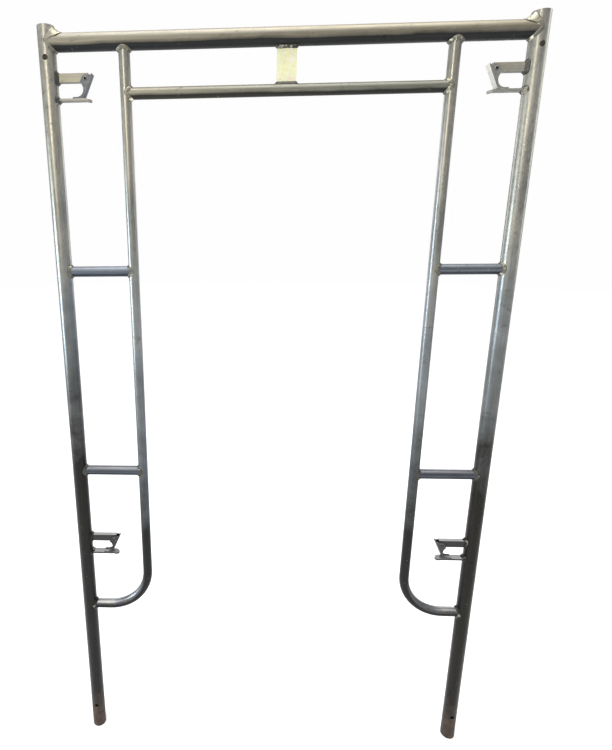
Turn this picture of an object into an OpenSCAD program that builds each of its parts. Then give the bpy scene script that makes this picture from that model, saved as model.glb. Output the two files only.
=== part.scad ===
// Walk-through scaffold frame: two hollow legs, a portal of lighter tube between them,
// and four gravity latches that hold the cross braces on.
// The frame stands in the XZ plane with its front towards -Y. The origin is midway
// between the legs, at the height of their lower ends.

/* [Frame] */
// Height of the legs
frame_h = 1930; // [1800:10:2010]
// Distance between the axes of the legs
frame_w = 1067; // [950:1:1300]
// Outer diameter of the legs and the header
leg_od = 38.1; // [34:0.1:43]
// Wall thickness of the legs and the header
leg_wall = 2.4; // [2:0.1:3.2]
// How far the legs rise above the top of the header
leg_rise = 14; // [8:1:30]
// Distance from the header's axis down to the lower header's axis
header_drop = 106.5; // [90:0.5:140]

/* [Ladder sides] */
// Outer diameter of the uprights, rungs and lower header
brace_od = 25.4; // [22:0.1:28]
// Wall thickness of the uprights, rungs and lower header
brace_wall = 2; // [1.5:0.1:3]
// Distance from a leg's axis to the axis of the upright beside it
side_bay = 173; // [160:1:230]
// Height of the upper rungs
upper_rung_z = 1393; // [1300:1:1450]
// Height of the lower rungs
lower_rung_z = 859; // [800:1:950]
// Height at which the bent foot of an upright meets its leg
curve_z = 434; // [380:1:500]
// Radius of that bend, on the tube's axis
bend_r = 112; // [90:1:140]

/* [Header plate] */
// Width of the plate between the two headers
plate_w = 43; // [30:1:60]
// Thickness of the plate
plate_t = 5; // [3:0.5:8]

/* [Pin holes] */
// Diameter of the coupling pin holes through the legs
pin_hole_d = 12; // [10:0.1:13]
// Distance from a leg's top end down to its upper pin hole
pin_from_top = 66; // [40:1:80]
// Height of the lower pin hole
pin_from_foot = 78; // [40:1:90]

/* [Brace locks] */
// Height of the upper lock arms
top_lock_z = 1824.5; // [1790:0.5:1830]
// Height of the arms of the lower locks
bottom_lock_z = 654; // [600:1:700]
// Height of a lock arm's flat face
arm_h = 19; // [16:0.5:22]
// Thickness of a lock arm, front to back
arm_t = 12; // [8:0.5:14]
// Distance from a leg's axis to the latch rivet
rivet_reach = 84; // [75:0.5:90]
// Distance from a lock arm's centre line down to the stud's mid-plane
stud_drop = 45.5; // [44:0.5:50]
// Width of a brace stud, front to back
stud_w = 19; // [16:0.5:22]
// Thickness of a brace stud
stud_t = 5; // [4:0.5:6]
// Distance from a leg's axis to the tip of its brace studs
stud_reach = 95; // [90:0.5:105]
// How far a stud's tip is bent down, in degrees
tip_bend = 12; // [0:1:15]

/* [Latches] */
// Thickness of the latch's sheet
sheet_t = 2.6; // [2:0.1:3]
// Lean of a resting latch from upright, in degrees, with its foot towards the leg
latch_lean = 25; // [20:1:26]
// Distance from the rivet's axis to the inner face of the latch's web
web_gap = 8.6; // [8.4:0.1:9.5]
// Height of the thumb tab above the rivet, along the web
tab_up = 15; // [12:0.5:18]
// Diameter of the rivet
rivet_d = 8; // [6:0.1:9]

/* [Hidden] */
$fn = 64;
header_z = frame_h - leg_rise - leg_od / 2;
lower_header_z = header_z - header_drop;
upright_x = frame_w / 2 - side_bay;
// A coped tube stops this far short of the tube that it is welded to
weld_gap = 0.25;
// Radial clearances of the rivet: in its arm, and under the latch that turns on it
rivet_fit = 0.03;
latch_fit = 0.08;
// The rivet is a little below the centre line of its arm
rivet_z = -2;
// The arm's end is round under the rivet, so the latch can swing below it
arm_nose_r = arm_h / 2 + rivet_z;
arm_past_rivet = 6;
// Clear space between the latch's cheeks and the sides of the arm
cheek_gap = 0.4;
latch_w = arm_t + 2 * cheek_gap + 2 * sheet_t;
// The resting foot is this far above the stud
foot_gap = 0.3;
stud_top = -stud_drop + stud_t / 2;
// The round cut in the cheeks between the rivet and the foot, and how far its centre is
// from the rivet towards the leg
waist_r = 16;
waist_in = 21.9;
// The foot ends towards the leg in a thin toe of this height
toe_h = 2.6;
toe_in = -12;
latch_low = -60;
rivet_bore_d = rivet_d * 0.62;
rivet_head_r = rivet_d * 0.68;
rivet_head_t = 1.4;

LEFT = -1;
RIGHT = 1;

// Tubes

// A solid or hollow bar of round section along +X, from x1 to x2 at height z
module along_x(d, x1, x2, z) {
    translate([x1, 0, z]) rotate([0, 90, 0]) cylinder(d = d, h = x2 - x1);
}

// The space that a vertical tube takes, with the weld gap round it
module vertical_space(od, x) {
    translate([x, 0, -1]) cylinder(d = od + 2 * weld_gap, h = frame_h + 2);
}

// A horizontal tube coped at both ends against the vertical tubes at x1 and x2
module rail(od, wall, x1, od1, x2, od2, z) {
    difference() {
        along_x(od, x1, x2, z);
        along_x(od - 2 * wall, x1 - 1, x2 + 1, z);
        vertical_space(od1, x1);
        vertical_space(od2, x2);
    }
}

module leg(side) {
    color("slategray") translate([side * frame_w / 2, 0, 0]) difference() {
        cylinder(d = leg_od, h = frame_h);
        translate([0, 0, -1]) cylinder(d = leg_od - 2 * leg_wall, h = frame_h + 2);
        for (z = [pin_from_foot, frame_h - pin_from_top])
            translate([0, 0, z]) rotate([90, 0, 0])
                cylinder(d = pin_hole_d, h = leg_od + 2, center = true);
    }
}

module header() {
    color("darkgray")
        rail(leg_od, leg_wall, -frame_w / 2, leg_od, frame_w / 2, leg_od, header_z);
}

module lower_header() {
    color("darkgray")
        rail(brace_od, brace_wall, -upright_x, brace_od, upright_x, brace_od,
            lower_header_z);
}

module header_plate() {
    low = lower_header_z + brace_od / 2;
    high = header_z - leg_od / 2;
    color("beige") translate([-plate_w / 2, -plate_t / 2, low])
        cube([plate_w, plate_t, high - low]);
}

// An upright's straight run, quarter bend and foot, as one solid bar of diameter d
module upright_bar(d) {
    bend_z = curve_z + bend_r;
    foot_x = upright_x + bend_r;
    translate([upright_x, 0, bend_z]) cylinder(d = d, h = header_z - bend_z);
    translate([foot_x, 0, bend_z]) rotate([90, 0, 0]) rotate([0, 0, 180])
        rotate_extrude(angle = 90) translate([bend_r, 0]) circle(d = d);
    along_x(d, foot_x, frame_w / 2, curve_z);
}

module right_upright() {
    color("dimgray") difference() {
        upright_bar(brace_od);
        upright_bar(brace_od - 2 * brace_wall);
        along_x(leg_od + 2 * weld_gap, 0, frame_w / 2, header_z);
        vertical_space(leg_od, frame_w / 2);
    }
}

module left_upright() {
    mirror([1, 0, 0]) right_upright();
}

module left_rung(z) {
    color("dimgray")
        rail(brace_od, brace_wall, -frame_w / 2, leg_od, -upright_x, brace_od, z);
}

module right_rung(z) {
    mirror([1, 0, 0]) left_rung(z);
}

// Brace locks. Each is drawn for the left leg: x is the distance from the leg's axis
// towards the middle of the frame, and z is measured from the arm's centre line.

module at_lock(side, z) {
    translate([side * frame_w / 2, 0, z])
        if (side == RIGHT) mirror([1, 0, 0]) children();
        else children();
}

// Extrudes a shape drawn in x and z to thickness t, centred front to back
module upright_sheet(t) {
    rotate([90, 0, 0]) linear_extrude(t, center = true) children();
}

module cross_hole(d) {
    translate([rivet_reach, 0, rivet_z]) rotate([90, 0, 0])
        cylinder(d = d, h = 3 * arm_t, center = true);
}

module leg_space() {
    translate([0, 0, -arm_h * 5]) cylinder(d = leg_od + 2 * weld_gap, h = arm_h * 10);
}

module lock_arm(side, z) {
    color("darkgray") at_lock(side, z) difference() {
        upright_sheet(arm_t) {
            translate([0, -arm_h / 2]) square([rivet_reach, arm_h]);
            translate([0, rivet_z])
                square([rivet_reach + arm_past_rivet, arm_h / 2 - rivet_z]);
            translate([rivet_reach, rivet_z]) circle(r = arm_nose_r);
        }
        leg_space();
        cross_hole(rivet_d + 2 * rivet_fit);
    }
}

// A flat stud with a round tip, bent down a little near the tip
module brace_stud(side, z) {
    tip_r = stud_w / 2;
    bend_x = stud_reach - tip_r - 4;
    tip_run = stud_reach - bend_x;
    tip_drop = tip_run * tan(tip_bend);
    color("silver") at_lock(side, z - stud_drop) difference() {
        intersection() {
            upright_sheet(2 * stud_w) translate([0, -stud_t / 2])
                polygon([[0, 0], [bend_x, 0], [stud_reach, -tip_drop],
                    [stud_reach, stud_t - tip_drop], [bend_x, stud_t], [0, stud_t]]);
            linear_extrude(4 * stud_t, center = true) {
                translate([0, -stud_w / 2]) square([stud_reach - tip_r, stud_w]);
                translate([stud_reach - tip_r, 0]) circle(r = tip_r);
            }
        }
        leg_space();
    }
}

// Side outline of the latch, in the latch's own axes: x out from the rivet towards
// the web, and y up along the web
module latch_outline() {
    web_out = web_gap + sheet_t;
    circle(r = arm_nose_r);
    polygon([[-arm_nose_r, 0], [-1, arm_nose_r], [web_gap, tab_up - 3],
        [web_out, tab_up - 3], [web_out, latch_low], [toe_in, latch_low]]);
}

// The web alone, with the thumb tab that stands above the cheeks
module web_outline() {
    translate([web_gap, latch_low]) square([sheet_t, tab_up - latch_low]);
}

// Everything above the toe and the foot's round edge, drawn in the resting position
module waist_cut(foot_z) {
    waist_x = rivet_reach - waist_in;
    translate([waist_x, 0, foot_z + toe_h + waist_r]) rotate([90, 0, 0])
        cylinder(r = waist_r, h = 3 * latch_w, center = true);
    translate([0, -latch_w, foot_z + toe_h]) cube([waist_x, 2 * latch_w, waist_r * 1.2]);
}

module latch(side, z) {
    foot_z = stud_top + foot_gap;
    color("lightsteelblue") at_lock(side, z) difference() {
        translate([rivet_reach, 0, rivet_z]) rotate([0, latch_lean, 0]) {
            upright_sheet(latch_w) web_outline();
            for (y = [-1, 1])
                translate([0, y * (latch_w - sheet_t) / 2, 0])
                    upright_sheet(sheet_t) latch_outline();
        }
        translate([0, -latch_w, foot_z - 100]) cube([200, 2 * latch_w, 100]);
        waist_cut(foot_z);
        cross_hole(rivet_d + 2 * latch_fit);
    }
}

// A hollow rivet with a rounded head outside each cheek
module rivet(side, z) {
    head_y = latch_w / 2 + 0.15;
    color("gainsboro") at_lock(side, z) translate([rivet_reach, 0, rivet_z])
        rotate([90, 0, 0]) difference() {
            union() {
                cylinder(d = rivet_d, h = 2 * head_y, center = true);
                for (end = [0, 1]) mirror([0, 0, end]) translate([0, 0, head_y])
                    rotate_extrude() intersection() {
                        square([rivet_head_r, rivet_head_t]);
                        translate([0, rivet_head_t - rivet_head_r * 1.6])
                            circle(r = rivet_head_r * 1.6);
                    }
            }
            cylinder(d = rivet_bore_d, h = 4 * latch_w, center = true);
        }
}

leg(LEFT);  // left_leg
leg(RIGHT);  // right_leg
header();
lower_header();
header_plate();
left_upright();
right_upright();
left_rung(upper_rung_z);  // left_upper_rung
left_rung(lower_rung_z);  // left_lower_rung
right_rung(upper_rung_z);  // right_upper_rung
right_rung(lower_rung_z);  // right_lower_rung
lock_arm(LEFT, top_lock_z);  // top_left_lock_arm
brace_stud(LEFT, top_lock_z);  // top_left_brace_stud
latch(LEFT, top_lock_z);  // top_left_latch
rivet(LEFT, top_lock_z);  // top_left_rivet
lock_arm(RIGHT, top_lock_z);  // top_right_lock_arm
brace_stud(RIGHT, top_lock_z);  // top_right_brace_stud
latch(RIGHT, top_lock_z);  // top_right_latch
rivet(RIGHT, top_lock_z);  // top_right_rivet
lock_arm(LEFT, bottom_lock_z);  // bottom_left_lock_arm
brace_stud(LEFT, bottom_lock_z);  // bottom_left_brace_stud
latch(LEFT, bottom_lock_z);  // bottom_left_latch
rivet(LEFT, bottom_lock_z);  // bottom_left_rivet
lock_arm(RIGHT, bottom_lock_z);  // bottom_right_lock_arm
brace_stud(RIGHT, bottom_lock_z);  // bottom_right_brace_stud
latch(RIGHT, bottom_lock_z);  // bottom_right_latch
rivet(RIGHT, bottom_lock_z);  // bottom_right_rivet
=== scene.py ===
"""Looks of the walk-through scaffold frame: zinc surfaces, weld beads, light and camera.

Everything is in metres in the row frame: +Z up, front towards -Y, and the origin
midway between the legs at the height of their lower ends.
"""
import math

import bpy
import bmesh
from mathutils import Matrix, Vector, noise


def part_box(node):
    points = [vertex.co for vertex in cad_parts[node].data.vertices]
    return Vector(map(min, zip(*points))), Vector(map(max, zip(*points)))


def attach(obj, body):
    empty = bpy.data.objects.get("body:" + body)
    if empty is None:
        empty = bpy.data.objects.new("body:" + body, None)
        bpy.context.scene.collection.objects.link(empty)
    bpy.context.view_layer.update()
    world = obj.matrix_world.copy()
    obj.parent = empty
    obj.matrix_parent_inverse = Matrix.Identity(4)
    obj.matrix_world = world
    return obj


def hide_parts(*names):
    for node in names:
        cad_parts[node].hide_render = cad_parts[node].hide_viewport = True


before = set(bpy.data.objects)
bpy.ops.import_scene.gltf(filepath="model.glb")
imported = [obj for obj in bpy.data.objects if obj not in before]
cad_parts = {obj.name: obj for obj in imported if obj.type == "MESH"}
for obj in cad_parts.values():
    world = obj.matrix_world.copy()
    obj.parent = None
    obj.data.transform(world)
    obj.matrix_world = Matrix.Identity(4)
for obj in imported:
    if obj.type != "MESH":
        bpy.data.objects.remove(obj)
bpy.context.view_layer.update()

MM = 0.001
FRAME_BODY = "frame"
UP = Vector((0, 0, 1))
X_AXIS = Vector((1, 0, 0))
SIDES = {"left": -1, "right": 1}
LOCKS = ["top_left", "top_right", "bottom_left", "bottom_right"]


# ---------------------------------------------------------------- places from the frame

def centre(node):
    low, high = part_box(node)
    return (low + high) / 2


def size(node):
    low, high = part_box(node)
    return high - low


LEG_R = size("left_leg").x / 2
LEG_X = centre("right_leg").x
HEADER_Z = centre("header").z
BRACE_R = size("lower_header").z / 2
LOWER_HEADER_Z = centre("lower_header").z
UPRIGHT_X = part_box("right_upright")[0].x + BRACE_R
FOOT_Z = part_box("right_upright")[0].z + BRACE_R


# ---------------------------------------------------------------- materials

class Shader:
    """A material under construction: its node tree, and short ways to add to it."""

    def __init__(self, name):
        self.material = bpy.data.materials.new(name)
        self.material.use_nodes = True
        self.tree = self.material.node_tree
        self.bsdf = self.tree.nodes["Principled BSDF"]
        self.place = self.add("ShaderNodeTexCoord").outputs["Object"]

    def add(self, kind, **settings):
        node = self.tree.nodes.new(kind)
        for key, value in settings.items():
            setattr(node, key, value)
        return node

    def link(self, source, target):
        self.tree.links.new(source, target)

    def scaled(self, scale):
        node = self.add("ShaderNodeMapping")
        node.inputs["Scale"].default_value = scale
        self.link(self.place, node.inputs["Vector"])
        return node.outputs["Vector"]

    def noise(self, scale, detail=4.0, rough=0.55, stretch=(1, 1, 1), warp=0.0):
        node = self.add("ShaderNodeTexNoise")
        node.inputs["Scale"].default_value = scale
        node.inputs["Detail"].default_value = detail
        node.inputs["Roughness"].default_value = rough
        node.inputs["Distortion"].default_value = warp
        self.link(self.scaled(stretch), node.inputs["Vector"])
        return node.outputs["Fac"]

    def cells(self, scale, stretch=(1, 1, 1)):
        node = self.add("ShaderNodeTexVoronoi")
        node.inputs["Scale"].default_value = scale
        self.link(self.scaled(stretch), node.inputs["Vector"])
        split = self.add("ShaderNodeSeparateColor")
        self.link(node.outputs["Color"], split.inputs["Color"])
        return split.outputs["Red"]

    def ramp(self, value, *stops):
        """Maps a value to a colour or grey through (position, colour) stops."""
        node = self.add("ShaderNodeValToRGB")
        elements = node.color_ramp.elements
        while len(elements) < len(stops):
            elements.new(0.5)
        for element, (position, colour) in zip(elements, stops):
            element.position = position
            grey = isinstance(colour, (int, float))
            element.color = (colour, colour, colour, 1) if grey else (*colour, 1)
        self.link(value, node.inputs["Fac"])
        return node.outputs["Color"]

    def between(self, value, low, high, out_low=0.0, out_high=1.0):
        node = self.add("ShaderNodeMapRange")
        node.clamp = True
        for key, number in (("From Min", low), ("From Max", high),
                            ("To Min", out_low), ("To Max", out_high)):
            node.inputs[key].default_value = number
        self.link(value, node.inputs["Value"])
        return node.outputs["Result"]

    def math(self, operation, first, second):
        node = self.add("ShaderNodeMath", operation=operation)
        for socket, value in zip(node.inputs, (first, second)):
            if isinstance(value, (int, float)):
                socket.default_value = value
            else:
                self.link(value, socket)
        return node.outputs["Value"]

    def mix(self, factor, first, second, blend="MIX"):
        node = self.add("ShaderNodeMix", data_type="RGBA", blend_type=blend)
        for key, value in ((0, factor), (6, first), (7, second)):
            socket = node.inputs[key]
            if isinstance(value, (int, float)):
                socket.default_value = value
            elif isinstance(value, tuple):
                socket.default_value = (*value, 1)
            else:
                self.link(value, socket)
        return node.outputs[2]

    def facing(self, axis):
        """How far the surface faces along an axis of the row frame, from -1 to 1."""
        split = self.add("ShaderNodeSeparateXYZ")
        self.link(self.add("ShaderNodeTexCoord").outputs["Normal"], split.inputs["Vector"])
        return split.outputs[axis]

    def height(self):
        split = self.add("ShaderNodeSeparateXYZ")
        self.link(self.place, split.inputs["Vector"])
        return split.outputs["Z"]

    def bump(self, *layers):
        """Stacks bump layers, each (height, strength, distance in metres)."""
        normal = None
        for value, strength, distance in layers:
            node = self.add("ShaderNodeBump")
            node.inputs["Strength"].default_value = strength
            node.inputs["Distance"].default_value = distance
            self.link(value, node.inputs["Height"])
            if normal is not None:
                self.link(normal, node.inputs["Normal"])
            normal = node.outputs["Normal"]
        self.link(normal, self.bsdf.inputs["Normal"])

    def finish(self, colour, roughness, metallic):
        self.link(colour, self.bsdf.inputs["Base Color"])
        self.link(roughness, self.bsdf.inputs["Roughness"])
        if isinstance(metallic, (int, float)):
            self.bsdf.inputs["Metallic"].default_value = metallic
        else:
            self.link(metallic, self.bsdf.inputs["Metallic"])
        return self.material


ALONG_Z = (1, 1, 0.03)  # stretches a pattern into streaks along a tube
ALONG_X = (0.03, 1, 1)
PAINTED_SKY_SHEEN = (0.66, 0.66, 0.70)  # painted reflection of the sky on faces turned up
COOL = (0.80, 0.90, 1.08)  # tint half way between the dark and bright tones


def zinc(name, bright, dark, low_z=-2.0, high_z=-1.0, along=ALONG_Z, rough=(0.26, 0.48),
         soiled_feet=False, shade_from=(-0.50, -0.10), shade_colour=(0.22, 0.23, 0.25),
         sky_sheen=0.6, metallic=0.92, streaked=0.5, passivated=0.0):
    """Hot-dip galvanised steel: spangle, drawn streaks, patches of patina and scratches, with
    a painted sky reflection on faces turned up and painted shade on faces turned down.
    The base colour goes from dark at low_z to bright at high_z. That paints in the tones of
    the photo, which can't tell whether its dark lower half is the metal or a reflection."""
    s = Shader(name)
    patches = s.noise(5.0, 5, 0.6, warp=0.4)
    height = s.height()
    wander = s.math("ADD", height, s.between(patches, 0.3, 0.7, -0.16, 0.16))
    by_height = s.between(wander, low_z, high_z)
    middle = tuple((a + b) / 2 * k for a, b, k in zip(bright, dark, COOL))
    base = s.ramp(by_height, (0.0, dark), (0.5, middle), (1.0, bright))
    tilt = s.math("ADD", s.facing("Z"), s.between(patches, 0.3, 0.7, -0.10, 0.10))
    # painted reflection of the sky: the more a face turns up, the lighter it is made
    base = s.mix(s.between(tilt, 0.10, 0.75, 0.0, sky_sheen), base, PAINTED_SKY_SHEEN)
    # painted shade: faces turned down are darkened towards shade_colour
    shade = s.ramp(s.between(tilt, *shade_from), (0.0, shade_colour), (1.0, 1.0))
    base = s.mix(1.0, base, shade, "MULTIPLY")
    patina = s.noise(24, 3, 0.5, stretch=tuple(v * (0.6 if v < 1 else 1) for v in along))
    tint = s.ramp(patina, (0.30, (0.62, 0.70, 0.78)), (0.48, (0.86, 0.84, 0.80)),
                  (0.60, (0.98, 0.92, 0.74)), (0.75, (0.80, 0.76, 0.80)))
    base = s.mix(0.55, base, tint, "MULTIPLY")
    if passivated:
        bloom = s.ramp(s.noise(42, 4, 0.6, warp=0.8), (0.32, (1.0, 0.99, 0.86)),
                       (0.46, (1.0, 0.94, 0.52)), (0.56, (0.93, 1.0, 0.66)),
                       (0.68, (1.0, 0.84, 0.66)))
        base = s.mix(passivated, base, bloom)
    streaks = s.noise(260, 4, 0.6, stretch=along)
    base = s.mix(streaked, base, s.ramp(streaks, (0.30, 0.62), (0.62, 1.0)), "MULTIPLY")
    spangle = s.math("ADD", s.math("MULTIPLY", s.cells(210), 0.6),
                     s.math("MULTIPLY", s.noise(170, 2, 0.5), 0.4))
    base = s.mix(0.30, base, s.ramp(spangle, (0.1, 0.70), (0.9, 1.0)), "MULTIPLY")
    scuffs = s.between(s.noise(31, 5, 0.7, warp=1.2), 0.60, 0.68, 0.0, 0.55)
    base = s.mix(scuffs, base, s.mix(1.0, base, (0.42, 0.41, 0.38), "MULTIPLY"))
    scratches = s.noise(70, 3, 0.7, stretch=tuple(9 if v < 1 else 0.9 for v in along))
    base = s.mix(s.ramp(scratches, (0.70, 0.0), (0.73, 0.5)), base, (0.78, 0.77, 0.74))
    soil = None
    if soiled_feet:
        splash = s.math("ADD", height, s.between(s.noise(38, 6, 0.65), 0.3, 0.7, -0.05, 0.05))
        soil = s.between(splash, 0.02, 0.13, 1.0, 0.0)
        rust = s.ramp(s.noise(90, 6, 0.7), (0.35, (0.030, 0.018, 0.012)),
                      (0.55, (0.075, 0.040, 0.022)), (0.72, (0.12, 0.075, 0.045)))
        base = s.mix(s.math("MULTIPLY", soil, 0.8), base, rust)
        metallic = s.between(soil, 0.0, 1.0, metallic, 0.25)
    grain = s.noise(420, 3, 0.6)
    worn = s.between(s.math("ADD", s.math("MULTIPLY", patches, 0.6),
                            s.math("MULTIPLY", spangle, 0.4)), 0.25, 0.75, *rough)
    if soil is not None:
        worn = s.math("ADD", worn, s.math("MULTIPLY", soil, 0.25))
    s.bump((patches, 0.25, 0.0008), (spangle, 0.10, 0.0003), (grain, 0.22, 0.0002))
    return s.finish(base, worn, metallic)


def weld_zinc(name, bright, dark, low_z=-2.0, high_z=-1.0, spotted=0.9):
    """Zinc over a weld bead: pale and lumpy, with dark pits, darker towards the bottom, and
    painted shade on faces turned down.
    """
    s = Shader(name)
    by_height = s.between(s.height(), low_z, high_z)
    base = s.mix(by_height, dark, bright)
    lumps = s.noise(330, 5, 0.65)
    base = s.mix(0.6, base, s.ramp(lumps, (0.34, 0.40), (0.52, 0.9), (0.7, 1.0)), "MULTIPLY")
    # painted shade: faces turned down are darkened
    under = s.between(s.facing("Z"), -0.6, 0.1, 0.35, 1.0)
    base = s.mix(1.0, base, s.ramp(under, (0.0, 0.0), (1.0, 1.0)), "MULTIPLY")
    tint = s.ramp(s.noise(60, 3), (0.35, (0.80, 0.86, 0.92)), (0.6, (1.0, 0.94, 0.72)))
    base = s.mix(0.6, base, tint, "MULTIPLY")
    spots = s.between(s.noise(75, 4, 0.6), 0.56, 0.64)
    base = s.mix(s.math("MULTIPLY", spots, s.between(by_height, 0.0, 1.0, 0.3, spotted)),
                 base, (0.80, 0.77, 0.62))
    s.bump((lumps, 0.5, 0.0007), (s.noise(900, 3), 0.3, 0.0003))
    return s.finish(base, s.between(lumps, 0.3, 0.7, 0.30, 0.55), 0.85)


leg_zinc = zinc("leg_zinc", (0.66, 0.64, 0.58), (0.028, 0.027, 0.027), 0.85, 1.75,
                soiled_feet=True)
# the header's painted underside shade is tinted blue, a painted sheen
header_zinc = zinc("header_zinc", (0.38, 0.355, 0.30), (0.10, 0.10, 0.10), along=ALONG_X,
                   rough=(0.40, 0.60), shade_from=(-0.46, -0.10),
                   shade_colour=(0.08, 0.09, 0.12), sky_sheen=0.05)
upright_zinc = zinc("upright_zinc", (0.62, 0.61, 0.57), (0.026, 0.027, 0.030), 0.68, 1.72)
rung_zinc = zinc("rung_zinc", (0.30, 0.31, 0.33), (0.08, 0.08, 0.09), 0.6, 1.8, ALONG_X,
                 rough=(0.36, 0.55), sky_sheen=0.25)
lower_header_zinc = zinc("lower_header_zinc", (0.42, 0.40, 0.32), (0.1, 0.1, 0.1),
                         along=ALONG_X, rough=(0.38, 0.56), sky_sheen=0.1,
                         shade_colour=(0.09, 0.09, 0.10))
plate_zinc = zinc("plate_zinc", (1.0, 0.98, 0.72), (0.6, 0.6, 0.5), rough=(0.45, 0.60),
                  metallic=0.05, streaked=0.12, passivated=0.8)
lock_zinc = zinc("lock_zinc", (0.50, 0.48, 0.41), (0.050, 0.050, 0.052), 0.7, 1.6, ALONG_X,
                 rough=(0.42, 0.58), metallic=0.6, sky_sheen=0.7)
# one part, but its tone is set lock by lock to match the photo: lit and shaded copies of one
# colour, painted light on top_right and painted shade on the others
LATCH_PAINTED_LIGHT = {"top_left": (0.13, 0.14, 0.16), "top_right": (0.62, 0.61, 0.57),
              "bottom_left": (0.060, 0.058, 0.060), "bottom_right": (0.085, 0.083, 0.078)}
latch_lit_and_shaded_zinc = {lock: zinc(f"{lock}_latch_lit_and_shaded_zinc", tone, tone, rough=(0.28, 0.42),
                         shade_from=(-1.2, -0.7), metallic=0.85, sky_sheen=0.3)
              for lock, tone in LATCH_PAINTED_LIGHT.items()}
rivet_zinc = zinc("rivet_zinc", (0.30, 0.29, 0.27), (0.10, 0.10, 0.10), 0.7, 1.6,
                  rough=(0.45, 0.60), metallic=0.7)
bead_zinc = weld_zinc("bead_zinc", (0.40, 0.385, 0.33), (0.045, 0.045, 0.045), 0.65, 1.75)
# a darker copy of the bead zinc: painted shade for the beads at the header plate and round
# the lock arms and studs
shaded_bead_zinc = weld_zinc("shaded_bead_zinc", (0.15, 0.15, 0.15), (0.035, 0.035, 0.035),
                           0.65, 1.75, spotted=0.4)

NODE_FINISH = {
    "left_leg": leg_zinc, "right_leg": leg_zinc, "header": header_zinc,
    "lower_header": lower_header_zinc, "header_plate": plate_zinc,
    "left_upright": upright_zinc, "right_upright": upright_zinc,
}
for side in SIDES:
    for level in ("upper", "lower"):
        NODE_FINISH[f"{side}_{level}_rung"] = rung_zinc
for lock in LOCKS:
    NODE_FINISH[f"{lock}_lock_arm"] = lock_zinc
    NODE_FINISH[f"{lock}_brace_stud"] = lock_zinc
    NODE_FINISH[f"{lock}_latch"] = latch_lit_and_shaded_zinc[lock]
    NODE_FINISH[f"{lock}_rivet"] = rivet_zinc


def paint(obj, material):
    obj.data.materials.clear()
    obj.data.materials.append(material)


def add_piece(name, mesh, smooth=False):
    """Turns a bmesh into an object of the scene, and frees the bmesh."""
    data = bpy.data.meshes.new(name)
    mesh.to_mesh(data)
    mesh.free()
    if smooth:
        data.shade_smooth()
    piece = bpy.data.objects.new(name, data)
    bpy.context.scene.collection.objects.link(piece)
    return piece


for node, material in NODE_FINISH.items():
    paint(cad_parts[node], material)


# ---------------------------------------------------------------- lock pieces

WELD_CLOSE = 0.12 * MM  # vertices nearer than this are merged before bevelling
FLAT_ENOUGH = math.radians(0.8)
SHARP_EDGE = math.radians(35)


def softened(node, body, edge=0.45 * MM):
    """A copy of a cut and formed piece with its sheared edges rounded, in its place."""
    mesh = bmesh.new()
    mesh.from_mesh(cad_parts[node].data)
    bmesh.ops.remove_doubles(mesh, verts=mesh.verts, dist=WELD_CLOSE)
    bmesh.ops.dissolve_limit(mesh, angle_limit=FLAT_ENOUGH, verts=mesh.verts,
                             edges=mesh.edges)
    sharp = [e for e in mesh.edges
             if len(e.link_faces) == 2 and e.calc_face_angle(0) > SHARP_EDGE]
    bmesh.ops.bevel(mesh, geom=sharp, offset=edge, offset_type="OFFSET", segments=3,
                    profile=0.5, affect="EDGES", clamp_overlap=True)
    piece = add_piece(f"{node}_softened", mesh, smooth=True)
    piece.modifiers.new("even_shading", "WEIGHTED_NORMAL").keep_sharp = True
    paint(piece, NODE_FINISH[node])
    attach(piece, body)
    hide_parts(node)


for lock in LOCKS:
    softened(f"{lock}_lock_arm", FRAME_BODY)
    softened(f"{lock}_brace_stud", FRAME_BODY)
    softened(f"{lock}_latch", f"{lock}_latch")


# ---------------------------------------------------------------- weld beads

LUMP_SCALE = 210  # lumps per metre along a bead
RIPPLE_PITCH = 2.4 * MM
TOE_SINK = 0.25 * MM  # how far a bead's edges lie under the surfaces they meet
ROOT_SINK = 0.8 * MM
WIDEST_ON_TUBE = 12.6 * MM
BEAD_SPANS = 6  # faces across a bead


def round_section(radius, count=132):
    """(offset along e1, along e2, normal along e1, along e2) round a tube."""
    for i in range(count):
        t = 2 * math.pi * i / count
        yield radius * math.cos(t), radius * math.sin(t), math.cos(t), math.sin(t)


def bar_section(half_1, half_2, corner=1.2 * MM, step=0.8 * MM):
    """The same round a flat bar, with its corners rounded a little."""
    points = []
    for quarter, (s1, s2) in enumerate(((1, 1), (-1, 1), (-1, -1), (1, -1))):
        c1, c2 = s1 * (half_1 - corner), s2 * (half_2 - corner)
        for k in range(5):
            t = math.pi / 2 * (quarter + k / 4)
            points.append((c1 + corner * math.cos(t), c2 + corner * math.sin(t),
                           math.cos(t), math.sin(t)))
    closed = points + points[:1]
    for p, q in zip(closed, closed[1:]):
        gap = math.hypot(q[0] - p[0], q[1] - p[1])
        parts = max(1, round(gap / step))
        for k in range(parts):
            f = k / parts
            yield tuple(a + (b - a) * f for a, b in zip(p, q))


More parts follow.
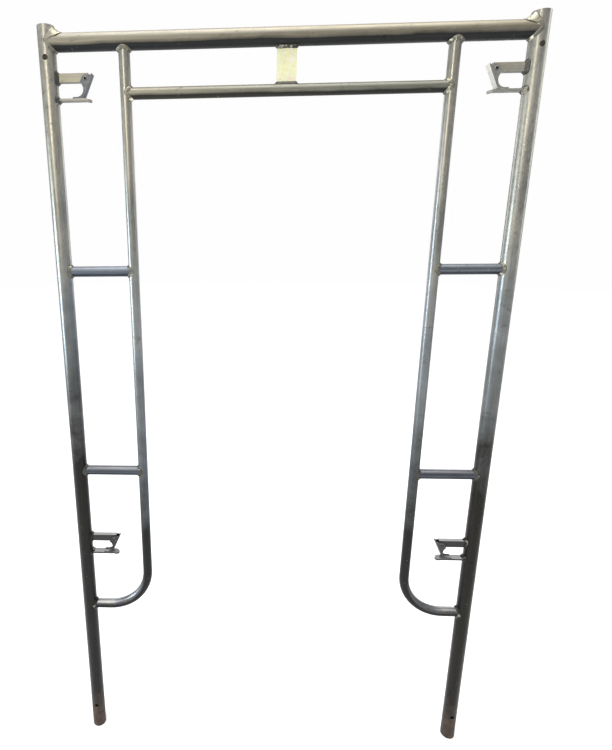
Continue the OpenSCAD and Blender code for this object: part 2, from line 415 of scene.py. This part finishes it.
def weld(name, origin, away, axis, radius, section, width=5.2 * MM, bulge=1.3 * MM,
         flare=None, seed=1, finish=None):
    """A bead round the seam where a bar or tube meets a tube.
    origin is on the tube's axis, away points from it along the bar, and axis is the
    tube's direction. flare(normal) adds width where it returns more than 0."""
    e1 = Vector(axis).normalized()
    u = Vector(away).normalized()
    e2 = u.cross(e1)
    origin = Vector(origin)
    seam = []
    for c1, c2, n1, n2 in section:
        reach = math.sqrt(max(radius ** 2 - c2 ** 2, 1e-9))
        point = origin + e1 * c1 + e2 * c2 + u * reach
        normal_bar = (e1 * n1 + e2 * n2).normalized()
        normal_tube = (u * reach + e2 * c2).normalized()
        seam.append((point, normal_bar, normal_tube))
    mesh = bmesh.new()
    rings = []
    count = len(seam)
    arc = 0.0
    for i, (point, normal_bar, normal_tube) in enumerate(seam):
        ahead, behind = seam[(i + 1) % count][0], seam[i - 1][0]
        along = (ahead - behind).normalized()
        arc += (point - behind).length if i else 0.0
        a = normal_bar.cross(along).normalized()
        a = a if a.dot(u) > 0 else -a
        b = normal_tube.cross(along).normalized()
        b = b if b.dot(a) < b.dot(normal_bar) else -b
        lump = noise.noise(point * LUMP_SCALE + Vector((seed, 0, 0)))
        ripple = abs(math.sin(math.pi * arc / RIPPLE_PITCH))
        grow = 1 + 0.16 * lump + 0.04 * ripple
        extra = flare(normal_bar) if flare else 0.0
        wide_a = width * grow + extra * (1 + 0.05 * lump)
        wide_b = min(width * (1 + 0.12 * lump) + extra * 0.5, WIDEST_ON_TUBE)
        out = (normal_bar + normal_tube).normalized()
        start = point + a * wide_a - normal_bar * TOE_SINK
        stop = point + b * wide_b - normal_tube * TOE_SINK
        lift = bulge * (1 + 0.35 * lump + 0.30 * ripple) / (1 + extra / (3 * MM))
        fill = 0.36 - 0.10 * min(1.0, extra / (4 * MM))
        control = point + (a * wide_a + b * wide_b) * fill + out * lift
        ring = []
        for k in range(BEAD_SPANS + 1):
            f = k / BEAD_SPANS
            spot = start * (1 - f) ** 2 + control * 2 * f * (1 - f) + stop * f * f
            ring.append(mesh.verts.new(spot))
        ring.append(mesh.verts.new(point - out * ROOT_SINK))
        rings.append(ring)
    for i in range(count):
        here, there = rings[i], rings[(i + 1) % count]
        for k in range(len(here)):
            m = (k + 1) % len(here)
            mesh.faces.new((here[k], here[m], there[m], there[k]))
    bmesh.ops.recalc_face_normals(mesh, faces=mesh.faces)
    piece = add_piece(name, mesh, smooth=True)
    paint(piece, finish or bead_zinc)
    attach(piece, FRAME_BODY)


def top_corner(normal):
    """Extra width on the top of the header, where the weld fills the corner."""
    return 18 * MM * max(0.0, normal.z) ** 2.5


EQUAL_TUBES = 0.985  # keeps the seam of two tubes of one diameter off the tube's side
for seed, (side, s) in enumerate(SIDES.items()):
    inward = Vector((-s, 0, 0))
    outward = Vector((s, 0, 0))
    leg_x, upright_x = s * LEG_X, s * UPRIGHT_X
    weld(f"weld_header_{side}", (leg_x, 0, HEADER_Z), inward, UP, LEG_R,
         round_section(LEG_R * EQUAL_TUBES, 180), 4.4 * MM, 1.2 * MM, top_corner, seed)
    weld(f"weld_{side}_upright_top", (upright_x, 0, HEADER_Z), -UP, X_AXIS, LEG_R,
         round_section(BRACE_R), seed=seed + 10)
    weld(f"weld_{side}_upright_foot", (leg_x, 0, FOOT_Z), inward, UP, LEG_R,
         round_section(BRACE_R), seed=seed + 20)
    weld(f"weld_lower_header_{side}", (upright_x, 0, LOWER_HEADER_Z), inward, UP, BRACE_R,
         round_section(BRACE_R * EQUAL_TUBES), 4.6 * MM, seed=seed + 30)
    for level in ("upper", "lower"):
        z = centre(f"{side}_{level}_rung").z
        weld(f"weld_{side}_{level}_rung_leg", (leg_x, 0, z), inward, UP, LEG_R,
             round_section(BRACE_R), 4.6 * MM, seed=seed + 40)
        weld(f"weld_{side}_{level}_rung_upright", (upright_x, 0, z), outward, UP, BRACE_R,
             round_section(BRACE_R * EQUAL_TUBES), 4.2 * MM, seed=seed + 50)

plate = size("header_plate")
for end, z, radius, away in (("top", HEADER_Z, LEG_R, -UP),
                             ("bottom", LOWER_HEADER_Z, BRACE_R, UP)):
    weld(f"weld_plate_{end}", (0, 0, z), away, X_AXIS, radius,
         bar_section(plate.x / 2, plate.y / 2), 5.0 * MM, 0.8 * MM, seed=60,
         finish=shaded_bead_zinc)

STUD_HALF = 2.5 * MM  # half a stud's thickness, where it meets the leg
for seed, lock in enumerate(LOCKS):
    s = SIDES[lock.split("_")[1]]
    for part in ("lock_arm", "brace_stud"):
        node = f"{lock}_{part}"
        low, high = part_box(node)
        z = centre(node).z if part == "lock_arm" else high.z - STUD_HALF
        half_z = (high.z - low.z) / 2 if part == "lock_arm" else STUD_HALF
        weld(f"weld_{node}", (s * LEG_X, 0, z), (-s, 0, 0), UP, LEG_R,
             bar_section(half_z, (high.y - low.y) / 2), 6.0 * MM, 0.7 * MM,
             seed=seed + 70, finish=shaded_bead_zinc)


# ---------------------------------------------------------------- stage, light, camera

def pale_floor(radius=14.0, sectors=96):
    """A wide round floor at the height of the legs' feet."""
    mesh = bmesh.new()
    rim = [mesh.verts.new((radius * math.cos(2 * math.pi * i / sectors),
                           radius * math.sin(2 * math.pi * i / sectors), 0.0))
           for i in range(sectors)]
    mesh.faces.new(rim)
    floor = add_piece("floor", mesh)
    s = Shader("floor_paper")
    grain = s.noise(3.0, 4)
    colour = s.ramp(grain, (0.2, (0.87, 0.87, 0.87)), (0.8, (0.90, 0.90, 0.90)))
    s.bsdf.inputs["Emission Color"].default_value = (1, 1, 1, 1)
    s.bsdf.inputs["Emission Strength"].default_value = 0.22
    paint(floor, s.finish(colour, s.between(grain, 0.2, 0.8, 0.85, 0.95), 0.0))


def softbox(name, place, aim, width, height, power, colour=(1, 1, 1)):
    data = bpy.data.lights.new(name, "AREA")
    data.shape = "RECTANGLE"
    data.size, data.size_y = width, height
    data.energy = power
    data.color = colour
    light = bpy.data.objects.new(name, data)
    light.location = place
    light.visible_camera = False
    light.rotation_euler = (Vector(aim) - Vector(place)).to_track_quat("-Z", "Y").to_euler()
    bpy.context.scene.collection.objects.link(light)


softbox("key_strip", (-1.0, -2.2, 2.3), (0, 0, 1.6), 0.12, 1.2, 9, (1.0, 0.95, 0.82))
softbox("right_strip", (2.6, 0.2, 2.0), (0.2, 0, 1.5), 0.6, 1.6, 8, (0.86, 0.94, 1.0))
softbox("left_strip", (-2.8, -0.6, 1.1), (-0.2, 0, 1.3), 0.5, 1.1, 36, (0.74, 0.87, 1.0))
softbox("back_right", (1.5, 2.6, 1.7), (0.2, 0, 1.5), 1.2, 1.6, 14, (0.92, 0.96, 1.0))
softbox("back_left", (-1.5, 2.6, 1.7), (-0.2, 0, 1.5), 1.2, 1.6, 14, (0.90, 0.95, 1.0))
softbox("overhead", (0, -0.2, 4.0), (0, 0, 1.0), 3.0, 1.2, 30)

sky_data = bpy.data.lights.new("soft_sky", "SUN")
sky_data.energy = 1.6
sky_data.angle = math.radians(60)
sky = bpy.data.objects.new("soft_sky", sky_data)
sky.rotation_euler = (math.radians(14), math.radians(-10), 0)
bpy.context.scene.collection.objects.link(sky)


def soft_surround():
    """Dim light from all round and more from above, so the metal keeps its contrast."""
    world = bpy.data.worlds.new("soft_surround")
    world.use_nodes = True
    tree = world.node_tree
    place = tree.nodes.new("ShaderNodeTexCoord")
    split = tree.nodes.new("ShaderNodeSeparateXYZ")
    ramp = tree.nodes.new("ShaderNodeValToRGB")
    for element, position, colour in zip(ramp.color_ramp.elements, (0.0, 0.9),
                                         ((0.10, 0.11, 0.12, 1), (0.66, 0.65, 0.62, 1))):
        element.position, element.color = position, colour
    tree.links.new(place.outputs["Generated"], split.inputs["Vector"])
    tree.links.new(split.outputs["Z"], ramp.inputs["Fac"])
    tree.links.new(ramp.outputs["Color"], tree.nodes["Background"].inputs["Color"])
    bpy.context.scene.world = world


def pale_dome(radius=13.9):
    """A plain pale backdrop all round. It gives the object no light and no reflection."""
    mesh = bmesh.new()
    bmesh.ops.create_uvsphere(mesh, u_segments=64, v_segments=32, radius=radius)
    dome = add_piece("dome", mesh)
    s = Shader("dome_paper")
    s.bsdf.inputs["Base Color"].default_value = (0, 0, 0, 1)
    s.bsdf.inputs["Roughness"].default_value = 1.0
    s.bsdf.inputs["Specular IOR Level"].default_value = 0.0
    s.bsdf.inputs["Emission Color"].default_value = (0.99, 0.99, 0.99, 1)
    s.bsdf.inputs["Emission Strength"].default_value = 1.0
    paint(dome, s.material)
    dome.visible_diffuse = dome.visible_glossy = dome.visible_transmission = False
    dome.visible_volume_scatter = dome.visible_shadow = False


pale_floor()
soft_surround()
pale_dome()

# the camera that the photo was matched with: the sizes in the frame were assumed to solve it
CAMERA_PLACE = Vector((-0.1166, -1.2313, 1.4858))
CAMERA_YAW, CAMERA_PITCH, CAMERA_ROLL = -0.0488, -0.2425, -0.0103
LENS_MM, SENSOR_MM = 24.0, 36.0
LENS_SHIFT = (0.1284, -0.0263)
forward = Vector((math.sin(CAMERA_YAW) * math.cos(CAMERA_PITCH),
                  math.cos(CAMERA_YAW) * math.cos(CAMERA_PITCH),
                  math.sin(CAMERA_PITCH)))
sideways = Vector((math.cos(CAMERA_YAW), -math.sin(CAMERA_YAW), 0))
upward = sideways.cross(forward)
right = sideways * math.cos(CAMERA_ROLL) + upward * math.sin(CAMERA_ROLL)
top = upward * math.cos(CAMERA_ROLL) - sideways * math.sin(CAMERA_ROLL)
lens = bpy.data.cameras.new("camera")
lens.lens = LENS_MM
lens.sensor_width = SENSOR_MM
lens.shift_x, lens.shift_y = LENS_SHIFT
lens.clip_start = 0.01
camera = bpy.data.objects.new("camera", lens)
camera.matrix_world = Matrix((
    (right.x, top.x, -forward.x, CAMERA_PLACE.x),
    (right.y, top.y, -forward.y, CAMERA_PLACE.y),
    (right.z, top.z, -forward.z, CAMERA_PLACE.z),
    (0, 0, 0, 1)))
bpy.context.scene.collection.objects.link(camera)
bpy.context.scene.camera = camera
bpy.context.scene.view_settings.view_transform = "Standard"
